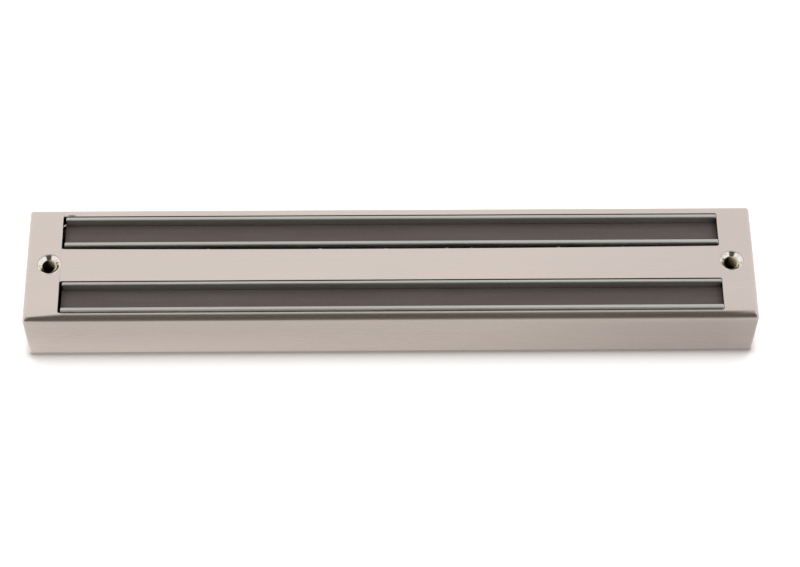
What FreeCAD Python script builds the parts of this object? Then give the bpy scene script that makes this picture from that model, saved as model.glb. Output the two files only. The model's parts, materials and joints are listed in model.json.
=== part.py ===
"""Twin-rail magnetic knife rack, lying on its back: a parametric FreeCAD document, in millimetres.

+X runs along the rack, +Y towards its upper edge when it hangs on a wall, +Z out of its face.
The origin is the centre of the back face. Every driving dimension is a cell of the sheet "sizes".
"""
import FreeCAD, Part
import math
import os
import Sketcher
from FreeCAD import Vector

# Driving dimensions, one spreadsheet row each: alias, value in mm (or a count), meaning.
SIZES = [
    ("length", 350, "housing, left end to right end"),
    ("width", 62.5, "housing, lower wall to upper wall"),
    ("height", 32, "housing, back face to front face"),
    ("sheet_thickness", 1, "housing sheet"),
    ("bend_radius", 2.5, "outer radius of the folds around the face"),
    ("corner_radius", 1.2, "upright corner edges, ground after welding"),
    ("slot_length", 317, "opening for a rail, end to end"),
    ("upper_slot_width", 18.4, "upper opening, at its ends"),
    ("lower_slot_width", 17.4, "lower opening, at its ends"),
    ("upper_slot_bow", 0.7, "the middle of the upper slot's lower edge is sprung down this far"),
    ("lower_slot_bow", 0.1, "the same for the lower slot"),
    ("slot_pitch", 36, "centre of one slot to centre of the other"),
    ("slot_drop", 0.2, "the slots sit this far below the middle of the face"),
    ("slot_corner", 0.8, "corner radius of the slots"),
    ("rail_length", 315.2, "both rails"),
    ("rail_shift", 0.55, "the rails sit this far right of the slots' middle"),
    ("rail_pitch", 36.3, "centre of one rail to centre of the other"),
    ("rail_drop", 0.45, "the rails sit this far below the middle of the face"),
    ("rail_stand", 1.5, "the pole tips stand this far out of the face"),
    ("pole_thickness", 2, "steel pole strip"),
    ("pole_height", 18, "steel pole strip, bottom edge to tip"),
    ("pole_gap", 12.3, "between the two poles of a rail"),
    ("pole_round", 0.85, "rounding of the pole tips"),
    ("pole_end_round", 0.5, "rounding of the tips at their cut ends"),
    ("magnet_width", 12, "magnet strip"),
    ("magnet_height", 8, "magnet strip"),
    ("magnet_recess", 5, "pole tips down to the magnet's face"),
    ("magnet_inset", 0.1, "the magnet stops this short of each pole end"),
    ("rivet_radius", 1.5, "rail cross rivets"),
    ("rivet_head_radius", 2.6, "rail cross rivets"),
    ("rivet_head_height", 0.9, "rail cross rivets"),
    ("rivet_head_round", 0.6, "rail cross rivets"),
    ("rivet_pitch", 92, "rivet to rivet along the rail"),
    ("rivet_count", 4, "rivets in each rail"),
    ("hole_play", 0.05, "rivet and screw holes are this much larger in radius"),
    ("bracket_pitch", 110, "bracket to bracket"),
    ("bracket_count", 3, "brackets, and screws in each rail"),
    ("bracket_thickness", 1.5, "bracket sheet"),
    ("bracket_width", 26, "raised part of the bracket, along the rack"),
    ("bracket_foot", 10, "each foot, along the rack"),
    ("bracket_span", 54, "bracket, across the rack"),
    ("bracket_bend", 2, "outer radius of the bracket's folds"),
    ("screw_radius", 2, "rail screws, M4"),
    ("screw_head_radius", 3.6, "rail screws"),
    ("screw_head_height", 2.4, "rail screws"),
    ("screw_head_round", 1, "rail screws"),
    ("screw_depth", 4.4, "screw thread inside the base bar"),
    ("screw_drive_radius", 1.4, "hexagon socket, across its corners' circle"),
    ("screw_drive_depth", 1.3, "hexagon socket"),
    ("back_thickness", 1.2, "back plate sheet"),
    ("back_lip", 9, "back plate, outside height of its rim"),
    ("back_play", 0.2, "between the back plate's rim and the housing walls"),
    ("back_bend", 1.8, "outer radius of the back plate's folds"),
    ("back_corner", 4, "corner radius of the back plate, seen from behind"),
    ("access_radius", 4.5, "screwdriver holes in the back plate"),
    ("fixing_pitch", 328, "wall screw to wall screw"),
    ("fixing_bore", 3.5, "radius of the wall screw hole"),
    ("sink_radius", 5.25, "countersink at the face"),
    ("sink_depth", 1.75, "countersink, which is as deep as the ferrule is long"),
    ("ferrule_radius", 5.6, "ferrule where it passes through the face"),
    ("ferrule_flange", 7, "radius of the ferrule's flange behind the face"),
    ("tube_radius", 5, "spacer tube, outside"),
    ("spigot_radius", 4.3, "spacer tube where it passes through the back plate"),
]

LONG = 30.0     # edges longer than this run along the rack
NEAR = 1e-4


def make_sheet(doc):
    """Writes the driving dimensions into the spreadsheet, one aliased cell each."""
    sheet = doc.addObject("Spreadsheet::Sheet", "sizes")
    for row, (alias, size, meaning) in enumerate(SIZES, 1):
        sheet.set(f"A{row}", alias)
        sheet.set(f"B{row}", str(size))
        sheet.set(f"C{row}", meaning)
        sheet.setAlias(f"B{row}", alias)
    doc.recompute()
    return sheet


def value(owner, expression):
    """The number that an expression on the sheet gives now."""
    result = owner.evalExpression(expression)
    return float(getattr(result, "Value", result))


# ---------------------------------------------------------------- sketch and feature helpers

def new_body(doc, label, x="0", y="0", z="0"):
    """A PartDesign body, placed by expressions."""
    body = doc.addObject("PartDesign::Body", label)
    body.Label = label
    for axis, expression in zip("xyz", (x, y, z)):
        body.setExpression(f"Placement.Base.{axis}", expression)
    return body


def origin_item(body, role):
    """One of the body's own origin planes or axes."""
    return next(item for item in body.Origin.OriginFeatures if item.Role == role)


def new_sketch(body, role, name):
    """A sketch on one of the body's own origin planes."""
    sketch = body.newObject("Sketcher::SketchObject", name)
    sketch.AttachmentSupport = [(origin_item(body, role), "")]
    sketch.MapMode = "FlatFace"
    return sketch


def drive(sketch, constraint, expression):
    """Adds a dimension to a sketch and binds it to the sheet."""
    index = sketch.addConstraint(constraint)
    sketch.setExpression(f"Constraints[{index}]", expression)


def pin(sketch, geometry, point, across, up):
    """Fixes a point of some geometry at a place given by two expressions."""
    for kind, expression in (("DistanceX", across), ("DistanceY", up)):
        place = value(sketch, expression)
        drive(sketch, Sketcher.Constraint(kind, -1, 1, geometry, point, place), expression)


def join(sketch, first, first_point, second, second_point):
    sketch.addConstraint(Sketcher.Constraint("Coincident", first, first_point, second, second_point))


def add_outline(sketch, corners):
    """Closed outline of straight lines through corners given as pairs of expressions."""
    points = [Vector(value(sketch, across), value(sketch, up), 0) for across, up in corners]
    following = points[1:] + points[:1]
    lines = [sketch.addGeometry(Part.LineSegment(a, b)) for a, b in zip(points, following)]
    for line, after in zip(lines, lines[1:] + lines[:1]):
        join(sketch, line, 2, after, 1)
    for line, (across, up) in zip(lines, corners):
        pin(sketch, line, 1, across, up)


def add_rectangle(sketch, left, bottom, right, top):
    add_outline(sketch, [(left, bottom), (right, bottom), (right, top), (left, top)])


def add_circle(sketch, across, up, radius):
    centre = Vector(value(sketch, across), value(sketch, up), 0)
    circle = sketch.addGeometry(Part.Circle(centre, Vector(0, 0, 1), value(sketch, radius)))
    drive(sketch, Sketcher.Constraint("Radius", circle, value(sketch, radius)), radius)
    pin(sketch, circle, 3, across, up)


def add_quarter_arc(sketch, centre, radius, first_angle):
    """Anticlockwise quarter circle from an angle in degrees, with its radius bound to the sheet."""
    circle = Part.Circle(centre, Vector(0, 0, 1), value(sketch, radius))
    ends = math.radians(first_angle), math.radians(first_angle + 90)
    arc = sketch.addGeometry(Part.ArcOfCircle(circle, *ends))
    drive(sketch, Sketcher.Constraint("Radius", arc, value(sketch, radius)), radius)
    return arc


def add_pad(body, sketch, length, midplane=False):
    pad = body.newObject("PartDesign::Pad", sketch.Name + "_pad")
    pad.Profile = sketch
    pad.Midplane = midplane
    pad.setExpression("Length", length)
    return pad


def add_cut(body, sketch):
    """Pocket through everything, both ways, that is seen to have removed something."""
    body.Document.recompute()
    before = body.Tip.Shape.Volume
    pocket = body.newObject("PartDesign::Pocket", sketch.Name + "_cut")
    pocket.Profile = sketch
    pocket.Type = "ThroughAll"
    pocket.Midplane = True
    body.Document.recompute()
    if pocket.Shape.Volume >= before:
        raise RuntimeError(f"{pocket.Name} cut nothing from {body.Label}")
    return pocket


def add_blind_cut(body, sketch, depth):
    """Pocket from the sketch's plane along the plane's normal."""
    body.Document.recompute()
    before = body.Tip.Shape.Volume
    pocket = body.newObject("PartDesign::Pocket", sketch.Name + "_cut")
    pocket.Profile = sketch
    pocket.Reversed = True
    pocket.setExpression("Length", depth)
    body.Document.recompute()
    if pocket.Shape.Volume >= before:
        raise RuntimeError(f"{pocket.Name} cut nothing from {body.Label}")
    return pocket


def add_revolution(body, sketch):
    """Full turn about the sketch's upright axis."""
    turned = body.newObject("PartDesign::Revolution", sketch.Name + "_turned")
    turned.Profile = sketch
    turned.ReferenceAxis = (sketch, ["V_Axis"])
    turned.Angle = 360
    return turned


def add_fillet(body, name, radius, wanted):
    """Rounds the tip's edges for which wanted(edge) is true."""
    body.Document.recompute()
    tip = body.Tip
    edges = [f"Edge{i}" for i, edge in enumerate(tip.Shape.Edges, 1) if wanted(edge)]
    if not edges:
        raise RuntimeError(f"{name} found no edge on {body.Label}")
    fillet = body.newObject("PartDesign::Fillet", name)
    fillet.Base = (tip, edges)
    fillet.setExpression("Radius", radius)
    return fillet


def add_row(body, name, pitch, count):
    """Repeats all that the body holds so far at even steps along X, and makes that its tip."""
    body.Document.recompute()
    row = body.newObject("PartDesign::LinearPattern", name)
    row.TransformMode = "Whole shape"
    row.Direction = (origin_item(body, "X_Axis"), [""])
    row.Mode = "Spacing"
    row.setExpression("Offset", pitch)
    row.setExpression("Occurrences", count)
    body.Tip = row
    return row


def hollow_out(body, name, thickness, open_at_z):
    """Shells the tip to a sheet thickness, open at the flat face that lies at open_at_z."""
    body.Document.recompute()
    tip = body.Tip
    faces = [f"Face{i}" for i, face in enumerate(tip.Shape.Faces, 1) if lies_at(face, open_at_z)]
    shell = body.newObject("PartDesign::Thickness", name)
    shell.Base = (tip, faces)
    shell.Reversed = True
    shell.setExpression("Value", thickness)
    return shell


def lies_at(shape, height):
    """True for a flat face or an edge that lies wholly at one height."""
    box = shape.BoundBox
    return abs(box.ZMin - height) < NEAR and abs(box.ZMax - height) < NEAR


def upright(edge):
    """True for a straight edge along Z."""
    box = edge.BoundBox
    return box.XLength < NEAR and box.YLength < NEAR and box.ZLength > NEAR


# ---------------------------------------------------------------- housing and back plate

def add_end_bends(body):
    """Rounds the top edges of both ends, so that they meet the long folds in a mitre."""
    sketch = new_sketch(body, "XZ_Plane", "end_bends")
    centre_up = "sizes.height - sizes.bend_radius"
    for side, first_angle, face_end, wall_end in (("-1", 90, 1, 2), ("1", 0, 2, 1)):
        centre_across = f"{side} * (sizes.length / 2 - sizes.bend_radius)"
        end_across = f"{side} * sizes.length / 2"
        centre = Vector(value(sketch, centre_across), value(sketch, centre_up), 0)
        on_wall = Vector(value(sketch, end_across), centre.y, 0)
        on_face = Vector(centre.x, value(sketch, "sizes.height"), 0)
        corner = Vector(on_wall.x, on_face.y, 0)
        rise = sketch.addGeometry(Part.LineSegment(on_wall, corner))
        level = sketch.addGeometry(Part.LineSegment(corner, on_face))
        arc = add_quarter_arc(sketch, centre, "sizes.bend_radius", first_angle)
        join(sketch, rise, 2, level, 1)
        join(sketch, level, 2, arc, face_end)
        join(sketch, arc, wall_end, rise, 1)
        pin(sketch, rise, 1, end_across, centre_up)
        pin(sketch, rise, 2, end_across, "sizes.height")
        pin(sketch, level, 2, centre_across, "sizes.height")
    add_cut(body, sketch)


def rail_line(side):
    """How far up the face a rail's centre line lies; side is 1 for the upper rail, -1 for the lower."""
    return f"{side} * sizes.rail_pitch / 2 - sizes.rail_drop"


def add_bowed_edge(sketch, left, right, ends, crown):
    """Flat curve between two corners, drawn outwards by a control point halfway along.

    ends and crown are heights; the middle of the curve lies halfway between them.
    """
    corners = [(left, ends), ("0", crown), (right, ends)]
    poles = [Vector(value(sketch, across), value(sketch, up), 0) for across, up in corners]
    curve = Part.BSplineCurve()
    curve.buildFromPoles(poles, False, 2)
    edge = sketch.addGeometry(curve)
    sketch.exposeInternalGeometry(edge)
    middle_pole = edge + 2
    pin(sketch, edge, 1, left, ends)
    pin(sketch, edge, 2, right, ends)
    pin(sketch, middle_pole, 3, "0", crown)
    return edge


def add_slot(sketch, name, side):
    """Rail slot: three straight edges and a lower edge that is sprung slightly downwards."""
    middle = f"({side} * sizes.slot_pitch / 2 - sizes.slot_drop)"
    left, right = "-sizes.slot_length / 2", "sizes.slot_length / 2"
    low = f"{middle} - sizes.{name}_slot_width / 2"
    high = f"{middle} + sizes.{name}_slot_width / 2"
    low_edge = add_bowed_edge(sketch, left, right, low, f"{low} - 2 * sizes.{name}_slot_bow")
    left_foot, left_head, right_head, right_foot = (
        Vector(value(sketch, across), value(sketch, up), 0)
        for across, up in ((left, low), (left, high), (right, high), (right, low))
    )
    left_end = sketch.addGeometry(Part.LineSegment(left_foot, left_head))
    high_edge = sketch.addGeometry(Part.LineSegment(left_head, right_head))
    right_end = sketch.addGeometry(Part.LineSegment(right_head, right_foot))
    join(sketch, left_end, 1, low_edge, 1)
    pin(sketch, left_end, 2, left, high)
    join(sketch, high_edge, 1, left_end, 2)
    pin(sketch, high_edge, 2, right, high)
    join(sketch, right_end, 1, high_edge, 2)
    join(sketch, right_end, 2, low_edge, 2)


def make_housing(doc):
    """Folded sheet cover: face with two rail slots and two ferrule holes, and four walls."""
    body = new_body(doc, "housing")
    outline = new_sketch(body, "XY_Plane", "cover_outline")
    add_rectangle(
        outline, "-sizes.length / 2", "-sizes.width / 2", "sizes.length / 2", "sizes.width / 2"
    )
    add_pad(body, outline, "sizes.height")
    face = value(body, "sizes.height")
    add_fillet(
        body, "long_bends", "sizes.bend_radius",
        lambda edge: lies_at(edge, face) and edge.BoundBox.XLength > LONG,
    )
    add_end_bends(body)
    hollow_out(body, "cover_hollow", "sizes.sheet_thickness", 0)
    corner_x, corner_y = value(body, "sizes.length / 2"), value(body, "sizes.width / 2")
    add_fillet(
        body, "cover_corners", "sizes.corner_radius",
        lambda edge: upright(edge)
        and abs(abs(edge.CenterOfMass.x) - corner_x) < NEAR
        and abs(abs(edge.CenterOfMass.y) - corner_y) < NEAR,
    )
    openings = new_sketch(body, "XY_Plane", "face_openings")
    for name, side in (("upper", "1"), ("lower", "-1")):
        add_slot(openings, name, side)
        add_circle(
            openings, f"{side} * sizes.fixing_pitch / 2", "0", "sizes.ferrule_radius + sizes.hole_play"
        )
    add_cut(body, openings)
    slot_end = value(body, "sizes.slot_length / 2")
    add_fillet(
        body, "slot_corners", "sizes.slot_corner",
        lambda edge: upright(edge) and abs(abs(edge.CenterOfMass.x) - slot_end) < NEAR,
    )
    return body


def make_back_plate(doc):
    """Shallow pressed tray that closes the back, its rim standing inside the housing walls."""
    body = new_body(doc, "back_plate")
    outline = new_sketch(body, "XY_Plane", "tray_outline")
    half_length = "sizes.length / 2 - sizes.sheet_thickness - sizes.back_play"
    half_width = "sizes.width / 2 - sizes.sheet_thickness - sizes.back_play"
    add_rectangle(
        outline, f"-({half_length})", f"-({half_width})", half_length, half_width
    )
    add_pad(body, outline, "sizes.back_lip")
    add_fillet(body, "tray_corners", "sizes.back_corner", upright)
    add_fillet(body, "tray_bends", "sizes.back_bend", lambda edge: lies_at(edge, 0))
    hollow_out(body, "tray_hollow", "sizes.back_thickness", value(body, "sizes.back_lip"))
    holes = new_sketch(body, "XY_Plane", "tray_holes")
    for side in ("-1", "1"):
        add_circle(
            holes, f"{side} * sizes.fixing_pitch / 2", "0", "sizes.spigot_radius + sizes.hole_play"
        )
        for step in ("-1", "0", "1"):
            add_circle(
                holes, f"{step} * sizes.bracket_pitch", rail_line(side),
                "sizes.access_radius",
            )
    add_cut(body, holes)
    return body


# ---------------------------------------------------------------- wall fixings

def make_ferrule(doc, label, side):
    """Countersunk ferrule, flush with the face, flanged behind it."""
    body = new_body(doc, label, x=f"{side} * sizes.fixing_pitch / 2", z="sizes.height")
    profile = new_sketch(body, "XZ_Plane", label + "_profile")
    add_outline(profile, [
        ("sizes.sink_radius", "0"),
        ("sizes.ferrule_radius", "0"),
        ("sizes.ferrule_radius", "-sizes.sheet_thickness"),
        ("sizes.ferrule_flange", "-sizes.sheet_thickness"),
        ("sizes.ferrule_flange", "-sizes.sink_depth"),
        ("sizes.fixing_bore", "-sizes.sink_depth"),
    ])
    add_revolution(body, profile)
    return body


def make_spacer_tube(doc, label, side):
    """Tube that carries the wall screw's clamping force from the ferrule to the back plate."""
    body = new_body(doc, label, x=f"{side} * sizes.fixing_pitch / 2")
    profile = new_sketch(body, "XZ_Plane", label + "_profile")
    top = "sizes.height - sizes.sink_depth"
    add_outline(profile, [
        ("sizes.fixing_bore", "0"),
        ("sizes.spigot_radius", "0"),
        ("sizes.spigot_radius", "sizes.back_thickness"),
        ("sizes.tube_radius", "sizes.back_thickness"),
        ("sizes.tube_radius", top),
        ("sizes.fixing_bore", top),
    ])
    add_revolution(body, profile)
    return body


# ---------------------------------------------------------------- magnetic rails

RAIL_BOTTOM = "sizes.height + sizes.rail_stand - sizes.pole_height"
RIVET_LEVEL = "(sizes.pole_height - sizes.magnet_recess - sizes.magnet_height) / 2"
FIRST_RIVET = "-(sizes.rivet_count - 1) * sizes.rivet_pitch / 2"
FIRST_BRACKET = "-(sizes.bracket_count - 1) * sizes.bracket_pitch / 2"


def rail_body(doc, label, rail_side, offset="0"):
    """A body at a rail's foot: x at the rail's middle, y at the rail's centre line plus an offset."""
    across = f"{rail_line(rail_side)} + {offset}"
    return new_body(doc, label, x="sizes.rail_shift", y=across, z=RAIL_BOTTOM)


def add_rivet_holes(body, prefix):
    """Cross holes for the rail's rivets."""
    sketch = new_sketch(body, "XZ_Plane", prefix + "_rivet_holes")
    for index in range(int(value(body, "sizes.rivet_count"))):
        add_circle(
            sketch, f"{FIRST_RIVET} + {index} * sizes.rivet_pitch", RIVET_LEVEL,
            "sizes.rivet_radius + sizes.hole_play",
        )
    add_cut(body, sketch)


def make_pole(doc, label, rail_side, pole_side):
    """Steel pole strip with a rounded tip."""
    offset = f"{pole_side} * (sizes.pole_gap + sizes.pole_thickness) / 2"
    body = rail_body(doc, label, rail_side, offset)
    section = new_sketch(body, "YZ_Plane", label + "_section")
    add_rectangle(
        section, "-sizes.pole_thickness / 2", "0", "sizes.pole_thickness / 2", "sizes.pole_height"
    )
    add_pad(body, section, "sizes.rail_length", midplane=True)
    tip = value(body, "sizes.pole_height")
    add_fillet(
        body, label + "_tip", "sizes.pole_round",
        lambda edge: lies_at(edge, tip) and edge.BoundBox.XLength > LONG,
    )
    add_fillet(
        body, label + "_ends", "sizes.pole_end_round",
        lambda edge: lies_at(edge, tip) and edge.BoundBox.XLength < NEAR,
    )
    add_rivet_holes(body, label)
    return body


def make_magnet(doc, label, rail_side):
    """Bonded ferrite strip, held between the poles above the base bar."""
    body = rail_body(doc, label, rail_side)
    section = new_sketch(body, "YZ_Plane", label + "_section")
    top = "sizes.pole_height - sizes.magnet_recess"
    add_rectangle(
        section, "-sizes.magnet_width / 2", f"{top} - sizes.magnet_height", "sizes.magnet_width / 2", top
    )
    add_pad(body, section, "sizes.rail_length - 2 * sizes.magnet_inset", midplane=True)
    return body


def make_base_bar(doc, label, rail_side):
    """Aluminium bar that spaces the poles, takes the rivets and is tapped for the rail screws."""
    body = rail_body(doc, label, rail_side)
    section = new_sketch(body, "YZ_Plane", label + "_section")
    top = "sizes.pole_height - sizes.magnet_recess - sizes.magnet_height"
    add_rectangle(section, "-sizes.pole_gap / 2", "0", "sizes.pole_gap / 2", top)
    add_pad(body, section, "sizes.rail_length", midplane=True)
    add_rivet_holes(body, label)
    threads = new_sketch(body, "XY_Plane", label + "_threads")
    for index in range(int(value(body, "sizes.bracket_count"))):
        add_circle(
            threads, f"{FIRST_BRACKET} + {index} * sizes.bracket_pitch - sizes.rail_shift", "0",
            "sizes.screw_radius + sizes.hole_play",
        )
    add_blind_cut(body, threads, "sizes.screw_depth + sizes.hole_play")
    return body


def make_rivets(doc, label, rail_side):
    """The rail's cross rivets, a head at each end, as one group of separate solids."""
    body = rail_body(doc, label, rail_side)
    profile = new_sketch(body, "XY_Plane", label + "_profile")
    grip = "(sizes.pole_gap / 2 + sizes.pole_thickness)"
    end = f"({grip} + sizes.rivet_head_height)"
    add_outline(profile, [
        ("0", f"-{end}"),
        ("sizes.rivet_head_radius", f"-{end}"),
        ("sizes.rivet_head_radius", f"-{grip}"),
        ("sizes.rivet_radius", f"-{grip}"),
        ("sizes.rivet_radius", grip),
        ("sizes.rivet_head_radius", grip),
        ("sizes.rivet_head_radius", end),
        ("0", end),
    ])
    add_revolution(body, profile)
    reach = value(body, end)
    add_fillet(
        body, label + "_heads", "sizes.rivet_head_round",
        lambda edge: edge.BoundBox.YLength < NEAR and abs(abs(edge.CenterOfMass.y) - reach) < NEAR,
    )
    body.setExpression("Placement.Base.x", f"sizes.rail_shift + {FIRST_RIVET}")
    body.setExpression("Placement.Base.z", f"{RAIL_BOTTOM} + {RIVET_LEVEL}")
    add_row(body, label + "_row", "sizes.rivet_pitch", "sizes.rivet_count")
    return body


# ---------------------------------------------------------------- rail brackets and their screws

def make_bracket(doc, label, step):
    """Hat-section bracket across the rack: feet on the back plate, its top under both rails."""
    body = new_body(doc, label, x=f"{step} * sizes.bracket_pitch", z="sizes.back_thickness")
    section = new_sketch(body, "XZ_Plane", label + "_section")
    rise = f"({RAIL_BOTTOM} - sizes.back_thickness)"
    outer, sheet = "sizes.bracket_width / 2", "sizes.bracket_thickness"
    foot_end = f"({outer} - {sheet} + sizes.bracket_foot)"
    add_outline(section, [
        (f"-{foot_end}", "0"),
        (f"-({outer} - {sheet})", "0"),
        (f"-({outer} - {sheet})", f"{rise} - {sheet}"),
        (f"{outer} - {sheet}", f"{rise} - {sheet}"),
        (f"{outer} - {sheet}", "0"),
        (foot_end, "0"),
        (foot_end, sheet),
        (outer, sheet),
        (outer, rise),
        (f"-({outer})", rise),
        (f"-({outer})", sheet),
        (f"-{foot_end}", sheet),
    ])
    add_pad(body, section, "sizes.bracket_span", midplane=True)
    top, half = value(body, rise), value(body, outer)
    inner_half, inner_top = half - value(body, sheet), top - value(body, sheet)
    low_inside = value(body, sheet)

    def at(edge, across, up):
        middle = edge.CenterOfMass
        return (
            edge.BoundBox.YLength > LONG
            and abs(abs(middle.x) - across) < NEAR
            and abs(middle.z - up) < NEAR
        )

    add_fillet(
        body, label + "_outer_bends", "sizes.bracket_bend",
        lambda edge: at(edge, half, top) or at(edge, inner_half, 0),
    )
    add_fillet(
        body, label + "_inner_bends", "sizes.bracket_bend - sizes.bracket_thickness",
        lambda edge: at(edge, inner_half, inner_top) or at(edge, half, low_inside),
    )
    holes = new_sketch(body, "XY_Plane", label + "_holes")
    for side in ("-1", "1"):
        add_circle(holes, "0", rail_line(side), "sizes.screw_radius + sizes.hole_play")
    add_cut(body, holes)
    return body


def make_rail_screws(doc):
    """The screws that hold both rails on the brackets, driven from behind, as separate solids."""
    under_bracket = f"{RAIL_BOTTOM} - sizes.bracket_thickness"
    body = new_body(doc, "rail_screws", x=FIRST_BRACKET, y=rail_line("-1"), z=under_bracket)
    profile = new_sketch(body, "XZ_Plane", "screw_profile")
    tip = "sizes.bracket_thickness + sizes.screw_depth"
    add_outline(profile, [
        ("0", "-sizes.screw_head_height"),
        ("sizes.screw_head_radius", "-sizes.screw_head_height"),
        ("sizes.screw_head_radius", "0"),
        ("sizes.screw_radius", "0"),
        ("sizes.screw_radius", tip),
        ("0", tip),
    ])
    add_revolution(body, profile)
    head_end = -value(body, "sizes.screw_head_height")
    add_fillet(
        body, "screw_heads", "sizes.screw_head_round", lambda edge: lies_at(edge, head_end)
    )
    add_hexagon_socket(body)
    grid = add_row(body, "screw_grid", "sizes.bracket_pitch", "sizes.bracket_count")
    grid.Direction2 = (origin_item(body, "Y_Axis"), [""])
    grid.Mode2 = "Extent"
    grid.setExpression("Length2", "sizes.rail_pitch")
    grid.Occurrences2 = 2
    return body


def add_hexagon_socket(body):
    """Drive recess in the head of a screw that points along +Z."""
    drive_plan = new_sketch(body, "XY_Plane", "screw_drive")
    drive_plan.AttachmentOffset = FreeCAD.Placement(Vector(0, 0, 0), FreeCAD.Rotation())
    drive_plan.setExpression("AttachmentOffset.Base.z", "-sizes.screw_head_height")
    add_outline(drive_plan, [
        (f"sizes.screw_drive_radius * cos({turn} deg)", f"sizes.screw_drive_radius * sin({turn} deg)")
        for turn in range(0, 360, 60)
    ])
    add_blind_cut(body, drive_plan, "sizes.screw_drive_depth")


# ---------------------------------------------------------------- the whole rack

def make_rail(doc, name, side):
    """One rail: two poles, the magnet between them, its base bar and its rivets."""
    return [
        make_pole(doc, name + "_upper_pole", side, "1"),
        make_pole(doc, name + "_lower_pole", side, "-1"),
        make_magnet(doc, name + "_magnet", side),
        make_base_bar(doc, name + "_base_bar", side),
        make_rivets(doc, name + "_rivets", side),
    ]


def make_rack(doc):
    """Every sub-part of the rack, each a body of its own."""
    parts = [make_housing(doc), make_back_plate(doc)]
    for name, side in (("left", "-1"), ("right", "1")):
        parts.append(make_ferrule(doc, name + "_ferrule", side))
        parts.append(make_spacer_tube(doc, name + "_spacer_tube", side))
    for name, side in (("upper_rail", "1"), ("lower_rail", "-1")):
        parts += make_rail(doc, name, side)
    for name, step in (("left", "-1"), ("middle", "0"), ("right", "1")):
        parts.append(make_bracket(doc, name + "_rail_bracket", step))
    parts.append(make_rail_screws(doc))
    return parts


def check(doc, parts):
    """Stops on any failed object, or on a sub-part without a sound solid."""
    for item in doc.Objects:
        if "Invalid" in item.State or "Error" in item.State:
            raise RuntimeError(f"{item.Name} failed: {item.State}")
    for part in parts:
        if part.Shape.isNull() or not part.Shape.isValid() or not part.Shape.Solids:
            raise RuntimeError(f"{part.Label} has no valid solid")


def main():
    doc = FreeCAD.newDocument("magnetic_knife_rack")
    make_sheet(doc)
    parts = make_rack(doc)
    doc.recompute()
    check(doc, parts)
    os.makedirs("parts", exist_ok=True)
    for part in parts:
        part.Shape.exportStep(f"parts/{part.Label}.step")
        solids, volume = len(part.Shape.Solids), part.Shape.Volume
        print(f"{part.Label}: {solids} solid(s), {volume:.0f} mm3")


main()
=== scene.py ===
import json
import logging
import math
from dataclasses import dataclass
from enum import Enum
from typing import Callable, Sequence, Union

import bpy
from mathutils import Matrix, Vector

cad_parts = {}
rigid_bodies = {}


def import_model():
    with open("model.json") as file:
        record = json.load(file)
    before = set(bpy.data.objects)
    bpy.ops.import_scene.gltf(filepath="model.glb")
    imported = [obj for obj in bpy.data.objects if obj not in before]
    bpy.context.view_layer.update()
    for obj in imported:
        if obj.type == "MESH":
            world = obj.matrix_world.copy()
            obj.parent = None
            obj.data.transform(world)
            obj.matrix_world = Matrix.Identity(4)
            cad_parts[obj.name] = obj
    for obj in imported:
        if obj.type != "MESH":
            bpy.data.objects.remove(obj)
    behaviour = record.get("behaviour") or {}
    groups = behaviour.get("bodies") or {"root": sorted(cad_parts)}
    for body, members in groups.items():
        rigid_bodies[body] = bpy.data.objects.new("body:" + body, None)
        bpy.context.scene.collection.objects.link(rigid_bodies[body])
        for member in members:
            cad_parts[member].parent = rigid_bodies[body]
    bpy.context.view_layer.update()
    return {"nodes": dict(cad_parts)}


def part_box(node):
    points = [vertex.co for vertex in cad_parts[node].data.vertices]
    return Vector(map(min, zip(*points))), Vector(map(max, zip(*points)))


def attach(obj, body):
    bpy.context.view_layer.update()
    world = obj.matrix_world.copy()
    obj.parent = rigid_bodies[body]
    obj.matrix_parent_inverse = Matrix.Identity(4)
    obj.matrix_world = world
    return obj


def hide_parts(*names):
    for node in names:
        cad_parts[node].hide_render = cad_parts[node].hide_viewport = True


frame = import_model()

LOG = logging.getLogger("magnetic_knife_rack")
MM = 0.001
ROOT = "root"
COIN = 0.02 * MM    # places closer than this are taken as the same
ROUND_SIDES = 96    # flats on anything round

Colour = tuple[float, float, float]
Point = tuple[float, float, float]
Span = tuple[float, float]
Value = Union["Wire", float, Colour]
Inputs = dict[Union[int, str], Value]


# ---------------- shader maths

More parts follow.
